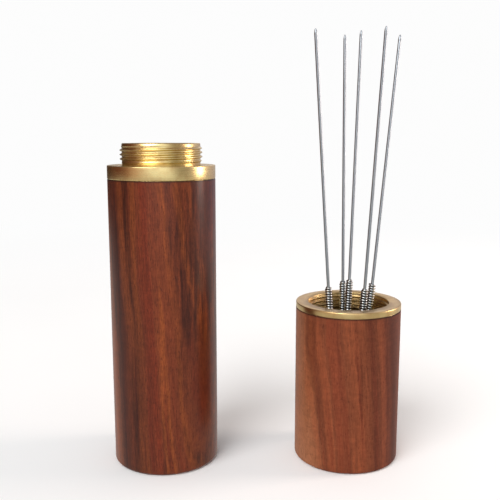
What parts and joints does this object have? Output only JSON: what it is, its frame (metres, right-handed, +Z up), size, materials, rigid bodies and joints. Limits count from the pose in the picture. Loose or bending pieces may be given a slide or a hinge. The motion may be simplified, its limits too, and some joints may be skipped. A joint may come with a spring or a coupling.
{
  "type": "needle case",
  "caption": "Turned wooden tube case in two screw-together halves with brass ferrules, standing open: a holder with wire-handled needles tips up, and its cover beside it.",
  "frame": {"origin": "centre of the holder's base, on the surface that it stands on", "axes": "+Z up along the holder's own axis, +X from the cover towards the holder, -Y the front of the open case"},
  "size_m": [0.0692, 0.0256, 0.1026],
  "materials": {
    "wood_holder": "satin oiled rosewood",
    "wood_cover": "polished rosewood",
    "brass": "turned satin brass",
    "cork": "pressed cork",
    "needle_steel": "drawn steel wire",
    "winding_steel": "wound steel wire",
    "felt": "pressed felt"
  },
  "bodies": {
    "holder": {"holder_cup": "wood_holder", "holder_ferrule": "brass", "needle_bed": "cork"},
    "needle_1": {"needle_1_shaft": "needle_steel", "needle_1_winding": "winding_steel"},
    "needle_2": {"needle_2_shaft": "needle_steel", "needle_2_winding": "winding_steel"},
    "needle_3": {"needle_3_shaft": "needle_steel", "needle_3_winding": "winding_steel"},
    "needle_4": {"needle_4_shaft": "needle_steel", "needle_4_winding": "winding_steel"},
    "needle_5": {"needle_5_shaft": "needle_steel", "needle_5_winding": "winding_steel"},
    "cover_pad": {"cover_end_pad": "felt"},
    "cover": {"cover_sleeve": "wood_cover", "cover_ferrule": "brass"}
  },
  "joints": [
    {"name": "needle_1_pull", "type": "slide", "parent": "holder", "child": "needle_1", "axis": [-0.0663, 0, 0.9978], "range_m": [0, 0.036]},
    {"name": "needle_2_pull", "type": "slide", "parent": "holder", "child": "needle_2", "axis": [-0.0052, 0.0541, 0.9985], "range_m": [0, 0.036]},
    {"name": "needle_3_pull", "type": "slide", "parent": "holder", "child": "needle_3", "axis": [0.0348, 0.0698, 0.997], "range_m": [0, 0.036]},
    {"name": "needle_4_pull", "type": "slide", "parent": "holder", "child": "needle_4", "axis": [0.0523, -0.014, 0.9985], "range_m": [0, 0.036]},
    {"name": "needle_5_pull", "type": "slide", "parent": "holder", "child": "needle_5", "axis": [0.0973, 0.0802, 0.992], "range_m": [0, 0.036]},
    {"name": "cover_lift", "type": "slide", "parent": "holder", "child": "cover_pad", "axis": [0, 0, 1], "range_m": [0, 0.08]},
    {"name": "cover_turn", "type": "hinge", "parent": "cover_pad", "child": "cover", "pos_m": [-0.0442, -0.0006, 0], "axis": [0, 0, 1], "continuous": true}
  ]
}
